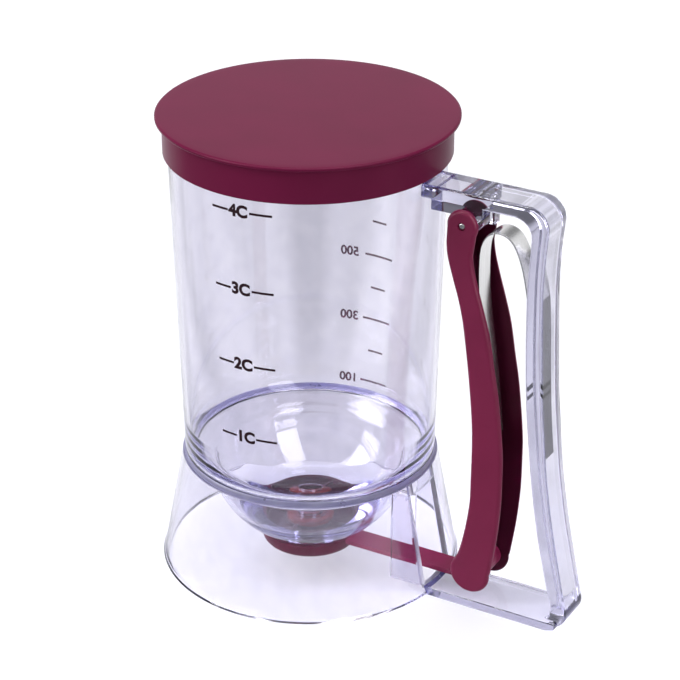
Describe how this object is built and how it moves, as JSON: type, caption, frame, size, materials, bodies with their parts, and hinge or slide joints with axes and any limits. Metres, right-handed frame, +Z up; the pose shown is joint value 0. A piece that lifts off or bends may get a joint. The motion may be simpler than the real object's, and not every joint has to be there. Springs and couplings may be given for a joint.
{
  "type": "batter dispenser",
  "caption": "Clear batter dispenser: tapered measuring cylinder, round bowl and flared base, press-on lid, loop handle and sprung squeeze trigger that swings a valve off the outlet.",
  "frame": {"origin": "centre of the ring on which the base stands, on the vessel's axis", "axes": "+Z up along the vessel's axis, +X towards the handle, so the trigger's pivot runs along Y"},
  "size_m": [0.1746, 0.118, 0.1858],
  "materials": {
    "clear_shell": "clear moulded plastic",
    "clear_handle": "thick clear moulded plastic",
    "maroon_lid": "satin gloss maroon plastic",
    "maroon_lever": "satin gloss maroon plastic",
    "seal_rubber": "orange-red soft seal",
    "spring_steel": "stainless strip",
    "pin_steel": "stainless pin"
  },
  "bodies": {
    "vessel": {"cylinder": "clear_shell", "bowl": "clear_shell", "bowl_floor": "clear_shell", "outlet_lip": "clear_shell", "base_skirt": "clear_shell", "handle": "clear_handle", "pivot_pin": "pin_steel", "leaf_spring": "spring_steel"},
    "trigger": {"trigger_lever": "maroon_lever", "valve_arm": "maroon_lever", "valve_dish": "maroon_lever", "seal_ring": "seal_rubber"},
    "lid": {"lid": "maroon_lid"}
  },
  "joints": [
    {"name": "trigger_squeeze", "type": "hinge", "parent": "vessel", "child": "trigger", "pos_m": [0.0689, 0, 0.1578], "axis": [0, -1, 0], "range_deg": [0, 10], "deforming": ["leaf_spring"]},
    {"name": "lid_lift", "type": "slide", "parent": "vessel", "child": "lid", "axis": [0, 0, 1], "range_m": [0, 0.03]}
  ]
}
